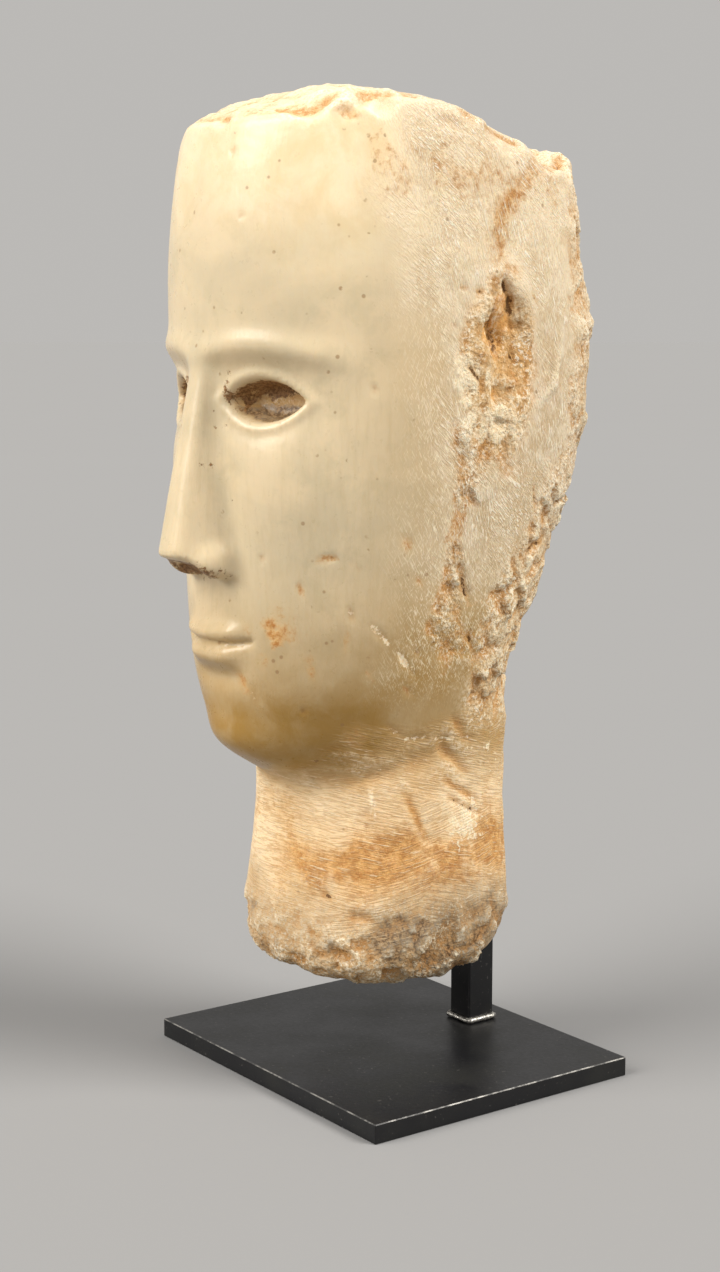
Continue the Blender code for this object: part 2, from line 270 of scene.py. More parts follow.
def eye_outline(across, z):
    """Distance outside the almond outline of an eye socket."""
    half_width, half_height = SOCKET_WIDTH / 2, SOCKET_HEIGHT / 2
    radius = (half_width**2 + half_height**2) / (2 * half_height)
    offset = radius - half_height
    dx, dz = across - EYE_CENTRE, z - EYE_LINE
    return np.maximum(np.hypot(dx, dz + offset), np.hypot(dx, dz - offset)) - radius


def lip_relief(across, z):
    """A closed, level mouth, three quarters of an eye width to either side."""
    line = MOUTH + 0.006 * across**2
    width = ramp(across, 17.5, 9)
    upper = 2.1 * bell(z - line - 3.1, 2.7) * width
    lower = 2.4 * bell(z - line + 3.7, 3.2) * ramp(across, 15.5, 7)
    parting = -2.0 * bell(z - line, 0.9) * ramp(across, 18, 15)
    furrow = -1.6 * bell(z - line + 10, 3.4) * ramp(across, 16, 5)
    return upper + lower + parting + furrow


def face_relief(x, z):
    """How far the soft forms of the face stand out of the plain oval."""
    across = np.abs(x)
    outline = eye_outline(across, z)
    brow = 2.0 * bell(z - brow_height(across), 4.0) * ramp(across, 47, 36)
    orbit = -5.0 * bell(across - EYE_CENTRE, 14) * bell(z - EYE_LINE - 1, 10.5)
    lids = 1.1 * bell(outline - 1.7, 1.3)
    socket = -SOCKET_DEPTH * ramp(outline, 0.5, -2.2)
    cheek = 1.8 * bell(across - 29, 14) * bell(z - (NOSE_BASE + 22), 17)
    muzzle = 2.6 * bell(across, 21) * bell(z - MOUTH, 18)
    chin = 3.4 * bell(across, 15) * bell(z - (CHIN + 13), 9.5)
    return brow + orbit + lids + socket + cheek + muzzle + chin + lip_relief(across, z)


def nose(x, y, z):
    """Distance outside the nose: a ridge, two flat sides, an underside and the two wings."""
    across = np.abs(x)
    t = np.clip((NOSE_ROOT - z) / (NOSE_ROOT - NOSE_TIP), 0, 1.1)
    ridge = -(NOSE_ROOT_FRONT + (NOSE_TIP_FRONT - NOSE_ROOT_FRONT) * t)
    half_width = NOSE_RIDGE_HALF_WIDTH[0] + np.ptp(NOSE_RIDGE_HALF_WIDTH) * t
    side = (across - half_width - NOSE_FLARE * (y - ridge)) / math.hypot(1, NOSE_FLARE)
    wedge = smooth_max(side, ridge - y, 3.0)
    underside = NOSE_TIP - NOSE_UNDERSIDE_RISE * (y + NOSE_TIP_FRONT) - z
    wedge = smooth_max(wedge, underside, 1.8)
    wedge = smooth_max(wedge, z - NOSE_ROOT, 4.0)
    wedge = np.maximum(wedge, y + NOSE_ROOT_FRONT - 16)
    wing = ellipsoid(across, y, z, (7.6, -(NOSE_TIP_FRONT - 14), NOSE_BASE + 3.6), WING_RADII)
    nostril = ellipsoid(across, y, z, (4.4, -(NOSE_TIP_FRONT - 9), NOSE_BASE), (2.2, 3.4, 2.6))
    return smooth_max(smooth_min(wedge, wing, 3.0), -nostril, 1.0)


def ear_relief(x, y, z):
    """A plain curved ear on the figure's right, and only its worn rim on the left."""
    reach = np.hypot((y - EAR_Y) / EAR_HALF_WIDTH, (z - EAR_Z) / EAR_HALF_HEIGHT)
    rim = bell(reach - 0.85, 0.22) * ramp(y, EAR_Y - 13, EAR_Y - 2)
    hollow = bell(reach, 0.5)
    return np.where(x < 0, 4.2 * rim - 2.4 * hollow, 1.6 * rim)


def ear_pit(x, y, z):
    """The ragged hollow left where the left ear broke away, with a stub standing in it."""
    points = np.stack((x, y, z))
    ragged = 1.4 * noise(points, (6, 5, 9), 301) + 1.1 * noise(points, (2.8, 2.8, 4), 302)
    upper = ellipsoid(x, y, z, (54, EAR_Y - 2.5, EAR_Z + 7), (6.0, 6.0, 12.0))
    lower = ellipsoid(x, y, z, (53.5, EAR_Y - 3, EAR_Z - 8), (4.6, 8.0, 15.5))
    pit = smooth_min(upper, lower, 3.0) + ragged * ramp(x, 20, 30)
    stub = ellipsoid(x, y, z, (45.5, EAR_Y - 2, EAR_Z + 11), (6.2, 3.6, 7.5))
    return smooth_max(pit, -stub, 1.2)


def crown_top(x, y):
    """Height of the broken top: a low ridge across the front half, falling away to both ends."""
    chip = CROWN_CHIP * ramp(x, -14, -34) * ramp(y, -34, -50)
    return along(CROWN_RIDGE, 1, y) - CROWN_SIDE_FALL * (x / 40) ** 2 - chip


def carved_head(x, y, z):
    """Distance outside the head with its face, nose and ears."""
    shifted_y = y + face_relief(x, z) * ramp(y, -22, -40)
    shifted_x = np.abs(x) - ear_relief(x, y, z) * ramp(np.abs(x), 30, 40)
    head = head_section(shifted_x, shifted_y, z)
    head = smooth_max(head, HEAD_RINGS[0][0] - z, 6.0)
    return smooth_min(head, nose(x, y, z), 2.8)


def smooth_stone(points):
    """Distance outside the stone before its surface was broken, rasped and worn."""
    x, y, z = points
    neck = smooth_max(neck_section(x, y, z), z - NECK_RINGS[-1][0], 6.0)
    body = smooth_min(neck, carved_head(x, y, z), NECK_BLEND)
    body = smooth_max(body, -ear_pit(x, y, z), 2.0)
    body = smooth_max(body, z - crown_top(x, y), CROWN_EDGE)
    underside = FOOT_BULGE * (x**2 + y**2) / 40**2 - FOOT_OVERCUT
    underside = underside + FOOT_REAR_RISE * ramp(y, 4, 36)
    return smooth_max(body, underside - z, FOOT_ROUNDING)


def slope(points):
    """Value and gradient of the stone's distance."""
    here = smooth_stone(points)
    step = 0.05
    grads = []
    for i in range(3):
        moved = points.copy()
        moved[i] += step
        grads.append((smooth_stone(moved) - here) / step)
    return here, np.stack(grads)


def onto_stone(points, rounds):
    """Moves points onto the stone's surface, a limited way at a time."""
    for _ in range(rounds):
        here, grad = slope(points)
        length = np.sqrt(np.maximum((grad**2).sum(0), LEAST_SLOPE))
        move = np.clip(here / length, -LONGEST_MOVE, LONGEST_MOVE) / length
        points = points - grad * move
    return points


def new_object(name, mesh, finish):
    obj = bpy.data.objects.new(name, mesh)
    bpy.context.scene.collection.objects.link(obj)
    if finish:
        obj.data.materials.append(finish)
    return obj


def fine_copy(node):
    """An even fine mesh over a solid: its points in carving millimetres, and its faces."""
    scratch = new_object("fine_copy", node.data.copy(), None)
    scratch.matrix_world = node.matrix_world
    remesh = scratch.modifiers.new("even", "REMESH")
    remesh.mode = "VOXEL"
    remesh.voxel_size = FINE_GRID * MM
    graph = bpy.context.evaluated_depsgraph_get()
    fine = scratch.evaluated_get(graph).to_mesh()
    points = np.empty(len(fine.vertices) * 3)
    fine.vertices.foreach_get("co", points)
    world = np.array(scratch.matrix_world)
    points = (world[:3, :3] @ points.reshape(-1, 3).T + world[:3, 3:]).T
    faces = [tuple(face.vertices) for face in fine.polygons]
    bpy.data.objects.remove(scratch)
    return ((points - np.array(STONE_AT)) / MM).T, faces


def neighbour_mean(values, faces):
    """The mean of each point's neighbours, for rows of values on the points."""
    quads = np.array([face for face in faces if len(face) == 4])
    home = quads.ravel()
    total = np.zeros_like(values)
    for shift in (1, 3):
        beside = np.roll(quads, -shift, axis=1).ravel()
        for row, value in zip(total, values):
            row += np.bincount(home, value[beside], values.shape[1])
    count = 2 * np.bincount(home, minlength=values.shape[1])
    return np.where(count > 0, total / np.maximum(count, 1), values)


def relaxed(points, faces, share):
    """Evens out the points along the surface."""
    return points + (neighbour_mean(points, faces) - points) * share


# Cracks: a path over the stone, half width and depth
CRACKS = (
    (((50, -7, 211), (48, -1, 210), (47, 4, 210)), 0.9, 1.0),
    (((47, 4, 211), (48, 8, 213), (49, 11, 208), (49, 12, 201)), 1.4, 1.4),
    (((45, 12, 194), (46, 14, 189)), 1.0, 1.0),
    (((51, -5, 189), (51, 0, 183)), 0.9, 0.8),
    (((50, 18, 210), (49, 22, 206)), 0.5, 0.5),
    (((47, -5, 131), (45, 0, 119)), 0.9, 1.7),
    (((44, 1, 110), (43, 4, 104)), 0.9, 1.2),
    (((45, 23, 133), (42, 31, 136)), 1.2, 1.8),
    (((45, 30, 146), (43, 31, 140)), 0.8, 1.2),
    (((49, 22, 153), (47, 24, 146)), 0.7, 0.8),
    (((13, -60, 251), (13, -60, 247)), 0.5, 0.4),
    (((45, 1, 119), (44, 7, 120)), 0.5, 0.8),
    (((48, 12, 172), (47, 15, 170)), 0.5, 0.6),
    (((38, 1, 85), (37, 7, 78)), 0.4, 0.3),
    (((36, -4, 75), (36, 0, 71)), 0.4, 0.3),
    (((35, 13, 49), (34, 17, 44)), 0.4, 0.6),
    (((36, 1, 59), (35, 14, 52)), 0.8, 1.1),
    (((24, -34, 15), (28, -31, 14)), 0.7, 0.6),
    (((19, -34, 31), (23, -33, 30)), 0.9, 1.2),
)

# Tool strokes, scars and ridges: a path over the stone, half width, depth (a ridge is negative),
# and the tint that each leaves with its strength
MARKS = (
    (((49, 33, 197), (50, 29, 183), (50, 21, 176)), 1.5, -1.2, "pale", 0.25),
    (((45, 26, 247), (48, 14, 238), (49, 8, 232), (50, 6, 214)), 3.0, 0.2, "ochre", 0.9),
    (((51, -2, 170), (50, 1, 164)), 1.6, 0.5, "ochre", 0.9),
    (((50, -5, 161), (50, -5, 152), (48, -8, 140), (47, -8, 133)), 2.0, 0.2, "ochre", 0.75),
    (((47, -9, 130), (46, -8, 124)), 1.2, 0.8, "ochre", 0.9),
    (((43, -7, 109), (43, -6, 100)), 1.8, 0.5, "ochre", 0.8),
    (((40, -32, 115), (41, -23, 106), (41, -15, 97)), 0.8, 0.4, "pale", 0.75),
    (((36, -38, 113), (36, -38, 101)), 0.6, 0.5, "ochre", 0.8),
    (((34, -47, 134), (37, -42, 135)), 0.45, 0.8, "ochre", 0.8),
    (((38, -38, 120), (38, -37, 117)), 1.1, 0.6, "pale", 0.5),
    (((30, -50, 127), (30, -49, 124)), 0.5, 0.5, "ochre", 0.5),
    (((29, -46, 105), (30, -45, 97)), 1.0, 0.3, "ochre", 0.4),
    (((37, -31, 101), (39, -25, 93)), 0.5, 0.6, "ochre", 0.8),
    (((39, -19, 95), (40, -14, 90)), 0.7, 0.5, "ochre", 0.7),
    (((15, -56, 96), (15, -55, 91)), 1.6, 0.2, "pale", 0.35),
    (((11, -58, 99), (13, -57, 94)), 1.4, 0.4, "ochre", 0.5),
    (((46, -24, 140), (46, -23, 137)), 1.2, 0.5, "ochre", 0.5),
    (((45, -19, 128), (45, -18, 126)), 0.9, 0.5, "ochre", 0.7),
    (((36, -39, 259), (40, -35, 257)), 1.0, 0.5, "ochre", 0.8),
    (((38, 0, 84), (37, 6, 77)), 1.3, 1.1, "ochre", 0.5),
    (((36, -3, 76), (35, 7, 66)), 1.5, 1.2, "ochre", 0.45),
    (((36, -1, 65), (35, 12, 56)), 1.0, 1.0, "ochre", 0.9),
    (((34, -15, 62), (36, -7, 46)), 1.1, 0.6, "ochre", 0.9),
    (((30, -25, 65), (31, -24, 54)), 1.2, -0.5, "pale", 0.35),
    (((35, -23, 84), (36, -16, 79), (37, -5, 78), (36, 12, 76)), 0.8, 0.6, "pale", 0.72),
    (((18, -34, 66), (30, -25, 67), (36, -12, 71), (36, -2, 74)), 2.6, 1.0, "pale", 0.2),
    (((24, -34, 14), (28, -31, 12)), 2.0, 2.6, "ochre", 0.5),
    (((28, -31, 26), (33, -25, 24)), 1.2, 0.8, "ochre", 0.6),
    (((14, -36, 20), (20, -35, 17)), 1.4, 0.9, "ochre", 0.6),
)


def path_gap(points, normals, path):
    """Distance from a path measured along the surface, and the share of the path passed, 0 to 1."""
    path = np.array(path, float)
    gap = np.full(points.shape[1], np.inf)
    place = np.zeros(points.shape[1])
    for i, (start, end) in enumerate(zip(path, path[1:])):
        off = points - start[:, None]
        height = (off * normals).sum(0)
        off = off - normals * np.clip(height, -MARK_REACH, MARK_REACH)
        run = (end - start)[:, None]
        t = np.clip((off * run).sum(0) / (run**2).sum(), 0, 1)
        here = np.sqrt(((off - t * run) ** 2).sum(0))
        place = np.where(here < gap, (i + t) / (len(path) - 1), place)
        gap = np.minimum(gap, here)
    return gap, place


def marked(points, normals):
    """Depth of all the cracks and marks, and the tints they leave."""
    depth = np.zeros(points.shape[1])
    tints = {name: np.zeros(points.shape[1]) for name in ("ochre", "pale", "crack")}
    waver = 0.6 * noise(points, (4, 4, 4), 71) + 0.25 * noise(points, (1.7, 1.7, 1.7), 72)
    swell = 1 + 0.4 * noise(points, (3, 3, 3), 73)

    def cut(path, width, bite):
        """Adds one mark's depth, and gives the distance from it and how it fades to its ends."""
        gap, place = path_gap(points, normals, path)
        fade = np.sin(math.pi * (0.1 + 0.8 * place)) ** 0.6
        depth[:] += bite * bell(gap + waver, width * swell) * fade
        return gap, fade

    for path, width, bite in CRACKS:
        gap, fade = cut(path, width, bite)
        line = 0.5 - (gap + 0.9 * np.abs(waver) - 0.75 * width * fade) / CRACK_REACH
        tints["crack"] = np.maximum(tints["crack"], line)
    for path, width, bite, tint, strength in MARKS:
        gap, fade = cut(path, width, bite)
        stain = strength * bell(gap + 0.7 * waver, 1.2 * width) * fade
        tints[tint] = np.maximum(tints[tint], stain)
    return depth, tints


def shares(points):
    """Where each kind of surface is found, from 0 to 1."""
    x, y, z = points
    wander = layered(points, (14, 14, 14), 31)
    edge = 4 + 36 * ramp(z, 92, 190)
    back = ramp(y - edge + 3.5 * wander, -5, 5) * ramp(z + 3 * wander, NAPE - 9, NAPE + 6)
    foot = ramp(z + 4 * wander, 31, 8)
    crown = ramp(z - crown_top(x, y) + 0.8 * wander, -3.0, -0.8)
    left = ramp(x, 26, 36)
    pit = ramp(np.hypot((y - 7) / 15, (z - 188) / 28) + 0.22 * wander, 1.14, 0.74) * left
    strip = ramp(np.abs(y + 3 + 4 * wander), 9, 4) * ramp(z, 176, 166) * ramp(z, 98, 108) * left
    strip = strip * ramp(noise(points, (7, 7, 13), 33), -0.25, 0.25)
    ledge = back * ramp(z, 168, 146)
    neck = ramp(z + 3 * wander, 88, 76) * (1 - 0.8 * foot) * ramp(neck_section(x, y, z), 10, 4)
    side = ramp(y + 4 * wander, -30, 0) * ramp(z, 112, 150) * (1 - pit) * (1 - crown)
    side = np.maximum(side, ramp(y + 4 * wander, -38, -12) * ramp(z, 190, 214) * (1 - pit))
    scuffed = ramp(y + 5 * wander, -34, -14) * ramp(z, 84, 104) * ramp(z, 232, 205) * (1 - pit)
    socket = ramp(eye_outline(np.abs(x), z), 0.6, -1.0) * ramp(y, -20, -30)
    knob = bell(np.hypot((y - 7.8) / 3.6, (z - 205.5) / 7.5) ** 2, 1.0) * left
    chips = np.clip(strip + 0.75 * ledge + 0.5 * pit, 0, 1)
    return {
        "back": back, "foot": foot, "crown": crown, "pit": pit, "chips": chips, "neck": neck,
        "side": side * (1 - 0.5 * back), "scuffed": scuffed, "socket": socket, "knob": knob,
    }


def worn_depth(points, share, marks_depth):
    """How far breaks, rasping and wear move the surface outward, in mm."""
    x, y, z = points
    back, foot, crown, pit = (share[name] for name in ("back", "foot", "crown", "pit"))
    warped = points + 3 * noise(points, (9, 9, 9), 40)
    big, _, _ = cells(warped, FLAKE_SIZE, 1)
    moved = FLAKE_DEPTH * (np.clip(big, 0, 1) - 0.45) * np.clip(back + 0.4 * foot + 0.3 * crown, 0, 1)
    _, number, plane = cells(warped, 8.5, 11)
    moved += (1.4 * plane + 0.5 * (number - 0.5)) * np.clip(0.85 * back + 0.9 * foot + 0.2 * crown, 0, 1)
    moved += (1.1 * plane + 0.6 * (number - 0.6)) * share["chips"]
    _, number, plane = cells(points + noise(points, (3, 3, 3), 42), 3.6, 21)
    gritty = 0.3 * back + 0.25 * foot + 0.2 * crown + 0.6 * pit
    gritty = gritty + 0.6 * share["chips"] + 0.5 * share["socket"]
    moved += (0.55 * plane + 0.35 * (number - 0.5)) * np.clip(gritty, 0, 1.2)
    moved += pit * (0.5 * layered(points, (3, 3, 9), 51) - 0.2)
    moved += 0.35 * share["chips"] * layered(points, (2.4, 2.4, 9), 56, 2)
    moved += foot * (0.9 * layered(points, (11, 11, 8), 52) - 0.8)
    moved += 0.3 * share["side"] * layered(points, (9, 9, 9), 54, 2)
    moved += crown * 1.25 * layered(points, (12, 12, 12), 53)
    _, _, plane = cells(warped, 17.0, 55)
    facet = 0.3 * plane + 0.12 * noise(points, (15, 15, 2.6), 61) + 0.45 * noise(points, (13, 13, 9), 63)
    moved += share["neck"] * facet
    scoop = bell(np.hypot((y - 21) / 9, (z - 187) / 15), 0.8) * ramp(x, 26, 36)
    moved -= 1.4 * scoop + marks_depth
    holes, number, _ = cells(points, 6.0, 81)
    pitted = np.clip(foot + 0.4 * back + 0.25 * share["neck"] + 0.6 * pit, 0, 1)
    moved -= 1.3 * bell(np.sqrt(holes), 0.17) * (number > 0.5) * pitted
    spots, number, _ = cells(points, 13.0, 91)
    moved -= 0.7 * bell(np.sqrt(spots), 0.06) * (number > 0.45)
    moved += 0.12 * layered(points, (20, 20, 26), 101, 3)
    edge = ramp(z - crown_top(x, y), -9, 0) * ramp(head_section(x, y, z), -7, 0)
    bite, number, _ = cells(points, 11.0, 111)
    moved -= 2.3 * edge * (number > 0.45) * ramp(bite, 0.5, 0.05)
    return moved


def store(mesh, name, values):
    layer = mesh.attributes.new(name, "FLOAT", "POINT")
    layer.data.foreach_set("value", np.ascontiguousarray(values, np.float32))


def stone_tints(points, normals, share, marks):
    """Where the stone is stained, dirty, bruised or clouded, and where shade and light are painted on it,
    from 0 to 1.
    """
    x, y, z = points
    veins = layered(points, (16, 16, 24), 201)
    blots = layered(points, (6, 6, 8), 205)
    left = ramp(x, 26, 36)
    band = 39 + 7 * ramp(x, 14, -10)
    ochre = 1.15 * bell(z - band - 4 * veins, 7.0) * ramp(blots, -1.1, 0.4) * ramp(x, -6, 14)
    ochre += 0.5 * bell(z - 52 - 3 * veins, 6.0) * ramp(x, 12, 0) * ramp(blots, -0.6, 0.6)
    ochre += 0.4 * share["neck"] * ramp(veins, 0.1, 0.9) + 0.4 * share["back"] * ramp(veins, 0.2, 1.0)
    ochre += 0.6 * ramp(z, 226, 248) * ramp(veins + 0.6 * blots, 0.45, 1.2) * ramp(y, -45, -25)
    ochre += share["knob"]
    ochre += 0.55 * bell(np.hypot((y + 20) / 12, (z - 246) / 10), 1.0) * left * ramp(blots, -0.5, 0.6)
    ochre += 0.45 * bell(np.hypot((y - 2) / 14, (z - 244) / 8), 1.0) * left * ramp(blots, -0.3, 0.7)
    ochre += 0.35 * share["pit"] * ramp(blots, 0.1, 0.8) + 0.4 * share["chips"] * ramp(blots, 0.0, 0.7)
    cheek = np.hypot(np.hypot(x - 22, z - 111), y + 54)
    ochre += 0.8 * bell(cheek, 6.5) * ramp(blots, -0.1, 0.5)
    dirt_and_shade = 0.45 * share["foot"] * ramp(blots, 0.35, 0.9) * ramp(z, 40, 10)
    dirt_and_shade += share["socket"] * ramp(z - EYE_LINE + 1.5 * blots, -1.0, 3.5)
    under_nose = ramp(z, NOSE_BASE + 6, NOSE_BASE + 1) * ramp(z, NOSE_BASE - 6, NOSE_BASE)
    dirt_and_shade += 0.9 * under_nose * ramp(y, -58, -63) * bell(x, 12)
    bridge = bell(np.abs(x) - 9, 4.5) * ramp(y, -50, -56) * ramp(z, NOSE_BASE + 8, NOSE_BASE + 30)
    dirt_and_shade += 0.5 * bridge * ramp(z, BROW + 4, BROW - 6) * ramp(blots, -0.1, 0.7)
    dirt_and_shade += 0.3 * bell(eye_outline(np.abs(x), z) - 1, 1.6) * ramp(y, -20, -30) * ramp(veins, -0.2, 0.8)
    dirt_and_shade += 0.35 * share["pit"] * ramp(layered(points, (1.5, 1.5, 8), 207), 0.5, 0.9)
    inward = -head_section(x, y, z)
    # Painted shade: darker deeper into the ear pit.
    dirt_and_shade += 0.7 * share["pit"] * ramp(inward, 1.6, 4.4) * (1 - 0.8 * share["knob"])
    spots, number, _ = cells(points, 10.0, 211)
    dirt_and_shade += 0.8 * bell(np.sqrt(spots), 0.1) * (number > 0.6) * ramp(z, 105, 88) * ramp(z, 62, 70)
    pale = 0.9 * bell(np.hypot((y + 6) / 5, (z - 186) / 9), 1.0) * left
    pale += 0.9 * bell(np.hypot((y - 5) / 10, (z - 172) / 5), 1.0) * left
    pale += 0.7 * bell(np.hypot((y - 7) / 8, (z - 50) / 7), 1.0) * left
    pale += 0.5 * share["pit"] * ramp(blots, -0.1, -0.8) + 0.45 * share["chips"] * ramp(blots, -0.1, -0.8)
    pale += 0.4 * share["back"] * ramp(veins, -0.1, -0.9) + 0.2 * share["crown"]
    pale += 0.45 * bell(np.hypot((y - 14) / 12, (z - 66) / 15), 1.0) * left * ramp(blots, -0.6, 0.5)
    grey = share["foot"] * bell(np.hypot((y + 17) / 10, (z - 21) / 7), 1.2) * ramp(x, 10, 20)
    grey += 0.7 * share["foot"] * ramp(veins + 0.4 * blots, 0.1, -0.6) * ramp(z, 34, 20)
    grey += 0.8 * share["socket"] * ramp(z - EYE_LINE + blots, 0.5, -2.0)
    # Painted shade, partly the stone's own darker tone: darker from the cheeks down to the jaw, on
    # down-facing surfaces and on the side below the ear.
    jaw_tone_and_shade = 0.55 * ramp(z, 140, 92) + 0.6 * ramp(z, 104, 78) + 0.22 * ramp(-normals[2], 0.15, 0.6)
    jaw_tone_and_shade = jaw_tone_and_shade * ramp(z + 2 * blots, 56, 78) * (1 - 0.3 * ramp(z, 98, 86) * ramp(y, -32, -16))
    jaw_tone_and_shade += 0.48 * ramp(y, -46, -8) * ramp(z + 4 * veins, 226, 188) * ramp(z, 84, 110)
    # Deeper in the ear pit, for painted warm shade; the pale patches fade there.
    deep = share["pit"] * ramp(inward, 0.4, 2.6)
    tints = {
        "ochre": np.maximum(ochre, marks["ochre"]),
        "dirt_and_shade": dirt_and_shade,
        "crack": marks["crack"],
        "pale": np.maximum(pale, marks["pale"]) * (1 - 0.9 * deep),
        "grey": grey,
        "brown": ramp(z + 5 * veins, 42, 16) * (0.45 + 0.55 * ramp(y + 5 * blots, -32, 0)),
        "pit": share["pit"] * (1 - share["knob"]),
        "deep": deep,
        "jaw_tone_and_shade": jaw_tone_and_shade * (1 - 0.5 * share["back"]),
        # Painted light: paler towards the top of the head.
        "upper": ramp(z + 7 * veins + 0.35 * y, 188, 232),
        "calm": ramp(z, 200, 175),
        "amber": share["socket"],
        "side": share["side"],
        "scuffed": share["scuffed"],
        "neck": share["neck"],
    }
    return {name: np.clip(values, 0, 1) for name, values in tints.items()}


def dressed_head(node, finish):
    """The stone as a fine mesh with its breaks, tool marks and stains, and with painted shade and light
    in its colour.
    """
    points, faces = fine_copy(node)
    points = onto_stone(points, 3)
    for _ in range(2):
        points = onto_stone(relaxed(points, faces, 0.5), 1)
    share = shares(points)
    normals = slope(points)[1]
    normals /= np.sqrt((normals**2).sum(0)) + 1e-9
    marks_depth, marks = marked(points, normals)
    rest = points
    moved = worn_depth(points, share, marks_depth)
    around = moved[None]
    for _ in range(AROUND_ROUNDS):
        around = neighbour_mean(around, faces)
    raised = moved - around[0]
    points = points + normals * moved
    points[2] = np.maximum(points[2], 0)
    behind = (points[1] > NECK_BACK) & (points[2] < NECK_BACK_TOP)
    points[1] = np.where(behind, NECK_BACK, points[1])

    mesh = bpy.data.meshes.new("alabaster_head_dressed")
    mesh.from_pydata((points.T * MM).tolist(), [], faces)
    open_stone = sum(share[name] for name in ("back", "foot", "pit", "chips"))
    open_stone += 0.45 * share["crown"] + 0.35 * share["socket"]
    store(mesh, "rough", np.clip(open_stone, 0, 1) * (1 - 0.9 * share["knob"]))
    # How far each point sits below its neighbours, where the material paints shade into the hollows.
    store(mesh, "hollow", np.clip(-raised / HOLLOW_DEPTH, 0, 1))
    # How far each point stands above its neighbours, where the material paints a highlight on the raised
    # edges.
    store(mesh, "ridge", np.clip(raised / RIDGE_HEIGHT, 0, 1))
    for name, values in stone_tints(rest, normals, share, marks).items():
        store(mesh, name, values)
    mesh.shade_smooth()
    head = new_object("alabaster_head_dressed", mesh, finish)
    head.location = STONE_AT
    return head


class Nodes:
    """Short names for making and joining the nodes of one material."""

    def __init__(self, name):
        self.material = bpy.data.materials.new(name)
        self.material.use_nodes = True
        self.tree = self.material.node_tree
        self.shader = self.tree.nodes["Principled BSDF"]
        self.coords = self.tree.nodes.new("ShaderNodeTexCoord").outputs["Object"]

    def put(self, socket, value):
        if isinstance(value, bpy.types.NodeSocket):
            self.tree.links.new(value, socket)
        else:
            socket.default_value = value

    def add(self, kind, **inputs):
        made = self.tree.nodes.new(kind)
        for key, value in inputs.items():
            self.put(made.inputs[key], value)
        return made

    def drawn_out(self, x, y, z, tilt=0.0):
        """Coordinates in which a pattern is drawn out along each axis, tilted sideways."""
        mapping = self.tree.nodes.new("ShaderNodeMapping")
        mapping.vector_type = "TEXTURE"
        self.put(mapping.inputs["Vector"], self.coords)
        mapping.inputs["Scale"].default_value = (x, y, z)
        turned = self.tree.nodes.new("ShaderNodeCombineXYZ")
        self.put(turned.inputs[0], tilt)
        self.put(mapping.inputs["Rotation"], turned.outputs[0])
        return mapping.outputs[0]

    def noise(self, scale, detail=4.0, roughness=0.55, vector=None, distortion=0.0):
        made = self.add("ShaderNodeTexNoise", Vector=vector or self.coords, Scale=scale)
        made.inputs["Detail"].default_value = detail
        made.inputs["Roughness"].default_value = roughness
        made.inputs["Distortion"].default_value = distortion
        return made.outputs["Fac"]

    def cells(self, scale):
        return self.add("ShaderNodeTexVoronoi", Vector=self.coords, Scale=scale)

    def span(self, value, low, high, to_low=0.0, to_high=1.0):
        made = self.tree.nodes.new("ShaderNodeMapRange")
        made.interpolation_type = "SMOOTHSTEP"
        self.put(made.inputs["Value"], value)
        limits = {"From Min": low, "From Max": high, "To Min": to_low, "To Max": to_high}
        for key, number in limits.items():
            made.inputs[key].default_value = number
        return made.outputs["Result"]

    def math(self, kind, a, b, clamp=False):
        made = self.tree.nodes.new("ShaderNodeMath")
        made.operation = kind
        made.use_clamp = clamp
        self.put(made.inputs[0], a)
        self.put(made.inputs[1], b)
        return made.outputs[0]

    def mix(self, factor, a, b):
        made = self.tree.nodes.new("ShaderNodeMix")
        made.data_type = "RGBA"
        self.put(made.inputs[0], factor)
        self.put(made.inputs[6], a)
        self.put(made.inputs[7], b)
        return made.outputs[2]

    def mix_value(self, factor, a, b):
        made = self.tree.nodes.new("ShaderNodeMix")
        self.put(made.inputs[0], factor)
        self.put(made.inputs[2], a)
        self.put(made.inputs[3], b)
        return made.outputs[0]

    def attribute(self, name):
        made = self.tree.nodes.new("ShaderNodeAttribute")
        made.attribute_name = name
        return made.outputs["Fac"]

    def bump(self, height, distance, strength, under=None):
        made = self.tree.nodes.new("ShaderNodeBump")
        self.put(made.inputs["Height"], height)
        self.put(made.inputs["Strength"], strength)
        made.inputs["Distance"].default_value = distance
        if under:
            self.put(made.inputs["Normal"], under)
        return made.outputs[0]


